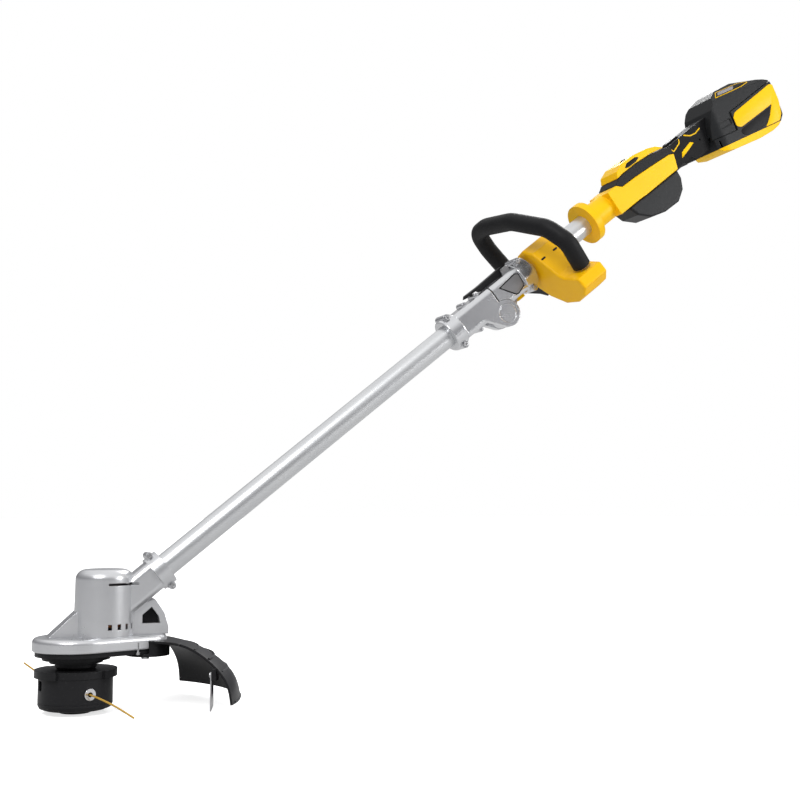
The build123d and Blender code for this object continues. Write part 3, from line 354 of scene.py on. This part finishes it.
def slab(name, plane, outline, depth, v, finish, body):
    # a plate with rounded corners and eased edges, raised from a plane along depth
    origin, across, up = plane
    bpy.ops.object.select_all(action="DESELECT")
    bpy.ops.mesh.primitive_circle_add(vertices=len(outline), radius=0.01, fill_type="NGON")
    piece = startPiece(name)
    for vertex, (a, b) in zip(piece.data.vertices, outline):
        vertex.co = origin + (across * a + up * b) * mm
    bpy.ops.object.mode_set(mode="EDIT")
    bpy.ops.mesh.select_all(action="SELECT")
    if v["corner"] > 0:
        bpy.ops.mesh.bevel(offset=v["corner"] * mm, segments=5, affect="VERTICES")
    bpy.ops.mesh.select_all(action="SELECT")
    bpy.ops.mesh.extrude_region_move(TRANSFORM_OT_translate={"value": depth * mm})
    bpy.ops.mesh.select_all(action="SELECT")
    bpy.ops.mesh.normals_make_consistent(inside=False)
    bpy.ops.object.mode_set(mode="OBJECT")
    ease = piece.modifiers.new("ease", "BEVEL")
    ease.width = v["edge"] * mm
    ease.segments = 3
    ease.limit_method = "ANGLE"
    bpy.ops.object.modifier_apply(modifier=ease.name)
    finishPiece(piece, finish, body)


def stripOutline(points, width):
    # the outline of a stripe of even width that follows open points
    sharpest = 0.4  # keeps the outer corner of a tight bend short
    left, right = [], []
    for i, point in enumerate(points):
        here = Vector(point)
        before = Vector(points[max(i - 1, 0)])
        after = Vector(points[min(i + 1, len(points) - 1)])
        arriving = (here - before).normalized() if i > 0 else (after - here).normalized()
        leaving = (after - here).normalized() if i < len(points) - 1 else arriving
        mean = (arriving + leaving).normalized()
        across = Vector((-mean.y, mean.x)) * (width / 2 / max(mean.dot(arriving), sharpest))
        left.append(tuple(here + across))
        right.append(tuple(here - across))
    return left + right[::-1]


# yellow marks on the rear grip

gripTrim = {"stripe": 2.0, "raise": 0.5, "corner": 0.5, "edge": 0.15, "side": 19,
            "upperBend": [(1014, 9.5), (1017, 3.4), (1034, 8.2), (1037.5, 14)],
            "rearBend": [(1049, 14.4), (1060, 6.6), (1071, 4.4), (1084, 7)],
            "blaze": [(1023.5, -13.5), (1029.5, -5.6), (1053, -1), (1058.5, -5.5), (1043, -9.5)]}
for side, word in bothSides:
    face = sidePlane(side * gripTrim["side"])
    lift = sideways * side * gripTrim["raise"]
    for key in ("upperBend", "rearBend"):
        stripe = stripOutline(gripTrim[key], gripTrim["stripe"])
        slab(f"grip_{key}_{word}", face, stripe, lift, gripTrim, "yellowPlastic", "rear_unit")
    slab(f"grip_blaze_{word}", face, gripTrim["blaze"], lift, gripTrim, "yellowPlastic", "rear_unit")

# band and dark panel on the battery's flanks

packTrim = {"corner": 2.2, "edge": 0.3, "side": 38, "bandRaise": 0.7, "panelRaise": 0.42,
            "band": [(49.5, -6), (49.5, 9), (56, 15.5), (143, 34.6), (149.5, 32), (149.5, 5), (144, -17),
                     (136, -26.5), (104, -26.8), (113, -20), (121, -12), (132.5, 3.2), (58, -10.5)],
            "panel": [(56, -14), (128.5, 0.6), (117.5, -13.2), (109, -21.5), (98, -25.6), (60, -25.6),
                      (54, -20)]}
for side, word in bothSides:
    face = packPlane(side * packTrim["side"])
    bandLift = sideways * side * packTrim["bandRaise"]
    panelLift = sideways * side * packTrim["panelRaise"]
    slab(f"pack_band_{word}", face, packTrim["band"], bandLift, packTrim, "yellowPlastic", "battery")
    slab(f"pack_panel_{word}", face, packTrim["panel"], panelLift, packTrim, "darkInsetAndShade", "battery")

# display on the receiver's bevelled shoulders: yellow frame, dark field, grey window

displayTrim = {"corner": 1.6, "edge": 0.15, "raise": 0.5, "step": 0.25, "side": 28.5, "up": 53.5,
               "frame": [(35, -7.2), (46, 5.2), (95, 5.2), (110, 0.4), (111.5, -3.2), (94, -6.4), (80, -7.2)],
               "field": [(38, -5.8), (47, 3.8), (94.6, 3.8), (108, -0.4), (109, -2.6), (94, -5.1),
                         (80, -5.8)],
               "window": [(43, -4.4), (49, 2.6), (84, 2.6), (77, -4.4)]}
displayLayers = (("frame", "yellowPlastic"), ("field", "darkInsetAndShade"), ("window", "panelGrey"))
for side, word in bothSides:
    slope = (abovePack - sideways * side).normalized()
    outward = (abovePack + sideways * side).normalized()
    middle = packPoint + (sideways * side * displayTrim["side"] + abovePack * displayTrim["up"]) * mm
    for layer, (key, finish) in enumerate(displayLayers):
        lift = outward * (displayTrim["raise"] + layer * displayTrim["step"])
        slab(f"display_{key}_{word}", (middle, alongPack, slope), displayTrim[key], lift, displayTrim, finish,
             "rear_unit")

# rims and plates of the hinge's badges, let into the yoke's rounded side

badgeTrim = {"corner": 1.0, "edge": 0.12, "side": 20, "rimRaise": 1.4, "plateRaise": 1.68,
             "rim": [(622, 10), (657, 13), (663, 9), (661, -10), (645, -15), (640, -14)],
             "plate": [(624.8, 8.8), (656.6, 11.5), (661.4, 8.2), (659.6, -8.9), (645, -13.3),
                       (640.8, -12.4)]}
for side, word in bothSides:
    face = sidePlane(side * badgeTrim["side"])
    rimLift = sideways * side * badgeTrim["rimRaise"]
    plateLift = sideways * side * badgeTrim["plateRaise"]
    slab(f"badge_rim_{word}", face, badgeTrim["rim"], rimLift, badgeTrim, "darkInsetAndShade", "rear_unit")
    slab(f"badge_plate_{word}", face, badgeTrim["plate"], plateLift, badgeTrim, "badgeGrey", "rear_unit")

# ports on the cap: dark plates on its flanks, painted shade for the ports' shaded insides, and a dark floor
# in the recess on top, painted shade at the recess bottom

portTrim = {"corner": 1.0, "edge": 0.12, "side": 24, "raise": 0.4,
            "port": [(919, 32.4), (927, 36.8), (946, 36.2), (952, 32.4), (944, 29.8), (926, 29.8)]}
for side, word in bothSides:
    face = sidePlane(side * portTrim["side"])
    lift = sideways * side * portTrim["raise"]
    # painted shade: a dark plate laid over each port
    slab(f"cap_port_shade_{word}", face, portTrim["port"], lift, portTrim, "darkInsetAndShade", "rear_unit")


def rectangle(middle, halfLong, halfWide):
    return [(middle - halfLong, -halfWide), (middle + halfLong, -halfWide),
            (middle + halfLong, halfWide), (middle - halfLong, halfWide)]


recess = {"halfLong": 14.2, "halfWide": 7.0, "corner": 4.5, "edge": 0.2, "sunk": 6.9, "thick": 0.5,
          "along": 946, "up": 41, "rise": 32.7}
alongCap, aboveCap = directions(recess["rise"])
recessPoint = shaftPoint(recess["along"], recess["up"]) - aboveCap * recess["sunk"] * mm
# painted shade: a dark plate at the bottom of the recess
slab("recess_floor_shade", (recessPoint, alongCap, sideways), rectangle(0, recess["halfLong"], recess["halfWide"]),
     aboveCap * recess["thick"], recess, "darkInsetAndShade", "rear_unit")

# two slots in the handle clamp's sloping shoulder, drawn as dark plates of painted shade

clampSlots = {"halfLong": 4.2, "halfWide": 1.5, "corner": 1.3, "edge": 0.1, "raise": 0.4,
              "clampAlong": 717, "up": 6, "side": -41, "slope": (18, 28), "middles": (-16.5, 8.5)}
inward, climb = clampSlots["slope"]
shoulder = (shaftPoint(clampSlots["clampAlong"], clampSlots["up"], clampSlots["side"]), alongShaft,
            (sideways * inward + aboveShaft * climb).normalized())
shoulderLift = (aboveShaft * inward - sideways * climb).normalized() * clampSlots["raise"]
for number, middle in enumerate(clampSlots["middles"]):
    outline = rectangle(middle, clampSlots["halfLong"], clampSlots["halfWide"])
    # painted shade: a dark plate stands for the shaded inside of each slot
    slab(f"clamp_slot_shade_{number + 1}", shoulder, outline, shoulderLift, clampSlots, "darkInsetAndShade", "aux_handle")

# painted shade: a dark sheet across the window of the head's gusset

gussetShadeTrim = {"corner": 0.6, "edge": 0.1, "thick": 1.6,
           "shadeSheet": [(79.4, 107.4), (103.6, 107.4), (101.5, 117.3), (92, 129.8), (79.4, 119.4)]}
shadeSheetPlane = (sideways * -gussetShadeTrim["thick"] / 2 * mm, Vector((1, 0, 0)), Vector((0, 0, 1)))
# painted shade: a thin dark sheet on the middle plane fills the window
slab("gusset_window_shade", shadeSheetPlane, gussetShadeTrim["shadeSheet"], sideways * gussetShadeTrim["thick"], gussetShadeTrim, "darkInsetAndShade", "head_unit")
print("trim made")


# guard beads: arcs spun round the spindle over the guard's skin

# an arc is its radius and height in millimetres, then its first and last angle
beads = {"wire": 1.3, "steps": 36, "merge": 0.00001, "smoothUnder": 40,
         "arcs": [(131, 84.2, -27, 39), (152, 78.6, -27, 39), (172, 68.5, -29, 37), (189, 53.0, -29, 36),
                  (200, 35.0, -29, 35), (206, 16.5, -29, 34)]}
for number, (radius, height, first, last) in enumerate(beads["arcs"]):
    bpy.ops.object.select_all(action="DESELECT")
    turn = radians(first)
    spot = Vector((radius * cos(turn), radius * sin(turn), height)) * mm
    bpy.ops.mesh.primitive_circle_add(vertices=10, radius=beads["wire"] * mm, fill_type="NGON", location=spot,
                                      rotation=(pi / 2, 0, turn))
    bead = startPiece(f"guard_bead_{number + 1}")
    bpy.ops.object.transform_apply(location=True, rotation=True, scale=True)
    bpy.ops.object.mode_set(mode="EDIT")
    bpy.ops.mesh.select_all(action="SELECT")
    bpy.ops.mesh.spin(steps=beads["steps"], angle=radians(first - last), center=(0, 0, 0), axis=(0, 0, 1))
    bpy.ops.mesh.select_all(action="SELECT")
    bpy.ops.mesh.remove_doubles(threshold=beads["merge"])
    # the far end is open after the spin
    bpy.ops.mesh.select_all(action="DESELECT")
    bpy.ops.mesh.select_non_manifold(extend=False)
    bpy.ops.mesh.edge_face_add()
    bpy.ops.mesh.select_all(action="SELECT")
    bpy.ops.mesh.normals_make_consistent(inside=False)
    bpy.ops.object.mode_set(mode="OBJECT")
    finishPiece(bead, "greyRib", "head_unit", beads["smoothUnder"])


# cutting line: one smooth stiff strand from each eyelet

strandValues = {
    "near": {"route": ((9.2, -35.4, 27), (15, -58, 26.6), (26, -74, 22.5), (40, -88, 15.5), (56, -103, 5)),
             "length": 88.2},
    "far": {"route": ((-9.2, 35.4, 27), (-15, 58, 28), (-28, 69, 34.5), (-42, 78, 43), (-55.5, 90, 53)),
            "length": 80.2}}
lineDiameter = 2.4
for word, v in strandValues.items():
    bpy.ops.object.select_all(action="DESELECT")
    path = bpy.data.curves.new(f"line_strand_{word}", "CURVE")
    path.dimensions = "3D"
    strand = path.splines.new("NURBS")
    strand.points.add(len(v["route"]) - 1)
    for point, spot in zip(strand.points, v["route"]):
        point.co = (*(Vector(spot) * mm), 1)
    strand.order_u = 3
    strand.use_endpoint_u = True
    strand.resolution_u = 16
    path.bevel_depth = lineDiameter / 2 * mm
    path.bevel_resolution = 4
    path.use_fill_caps = True
    line = bpy.data.objects.new(f"line_strand_{word}", path)
    bpy.context.scene.collection.objects.link(line)
    path.materials.append(finishes["cuttingLine"])
    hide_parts(f"line_end_{word}")
    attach(line, "spool_head")
print("beads and line made")


# floor, light and camera

floorValues = {"size": 60, "drop": 0.0005, "rough": 0.9,
               "paint": {"mirrored": 0.42, "seen": 0.9}, "glow": {"mirrored": 0.1, "seen": 0.7}}


def makeFloorPaint(name, v):
    # bright to look at, darker where the tool mirrors it
    paint = bpy.data.materials.new(name)
    paint.use_nodes = True
    tree = paint.node_tree
    shader = tree.nodes["Principled BSDF"]
    seen = Wire(tree, tree.nodes.new("ShaderNodeLightPath").outputs["Is Camera Ray"])
    for socket, key in (("Base Color", "paint"), ("Emission Color", "glow")):
        greys = [(v[key][when],) * 3 for when in ("mirrored", "seen")]
        tree.links.new(seen.mixed(rgba(greys[0]), rgba(greys[1])).socket, shader.inputs[socket])
    shader.inputs["Roughness"].default_value = v["rough"]
    shader.inputs["Emission Strength"].default_value = 1.0
    return paint


bpy.ops.object.select_all(action="DESELECT")
bpy.ops.mesh.primitive_plane_add(size=floorValues["size"], location=(0, 0, -floorValues["drop"]))
floor = startPiece("studio_floor")
floor.data.materials.append(makeFloorPaint("paleFloor", floorValues))

# the sky's greys by height: a pale floor side, a dark band at the skyline, white overhead
skyValues = {"lean": 0.07,
             "stops": [(0.0, (0.75, 0.75, 0.76)), (0.44, (0.5, 0.5, 0.52)), (0.53, (0.12, 0.12, 0.13)),
                       (0.66, (0.3, 0.3, 0.31)), (0.85, (1, 1, 1))]}
world = bpy.data.worlds.new("softStudio")
bpy.context.scene.world = world
world.use_nodes = True
background = world.node_tree.nodes["Background"]
sky = Wire(world.node_tree, world.node_tree.nodes.new("ShaderNodeTexCoord").outputs["Generated"])
skyHeight = sky.node("ShaderNodeSeparateXYZ", {}, {"Vector": sky}, "Z")
skySide = sky.node("ShaderNodeSeparateXYZ", {}, {"Vector": sky}, "X")
skyGrey = sky.node("ShaderNodeValToRGB", {"stops": skyValues["stops"]},
                   {"Fac": skyHeight * 0.5 + 0.5 + skySide * skyValues["lean"]})
lookedAt = sky.node("ShaderNodeLightPath", {}, {}, "Is Camera Ray")
backdrop = lookedAt.mixed(skyGrey, (1, 1, 1, 1))
world.node_tree.links.new(backdrop.socket, background.inputs["Color"])
background.inputs["Strength"].default_value = 1.0
bpy.context.scene.view_settings.view_transform = "Standard"

lampAim = Vector((0.5, 0, 0.45))
lamps = {"key": {"spot": (-1.6, -2.4, 2.6), "size": 1.4, "power": 66},
         "rim": {"spot": (2.2, 1.8, 2.4), "size": 1.2, "power": 42},
         "side": {"spot": (2.4, -1.6, 1.0), "size": 0.9, "power": 22}}
for name, v in lamps.items():
    bpy.ops.object.light_add(type="AREA", location=v["spot"])
    lamp = bpy.context.object
    lamp.name = f"lamp_{name}"
    lamp.data.size = v["size"]
    lamp.data.energy = v["power"]
    lamp.rotation_euler = (lampAim - Vector(v["spot"])).to_track_quat("-Z", "Y").to_euler()

view = {"spot": (-0.1975, -1.5805, 0.2541), "pitch": 95.2, "turn": -22,
        "lens": 54, "sensor": 36, "reach": 200}
bpy.ops.object.camera_add(location=view["spot"], rotation=(radians(view["pitch"]), 0, radians(view["turn"])))
camera = bpy.context.object
camera.name = "studio_camera"
camera.data.lens = view["lens"]
camera.data.sensor_width = view["sensor"]
camera.data.clip_end = view["reach"]
bpy.context.scene.camera = camera
print("studio set")
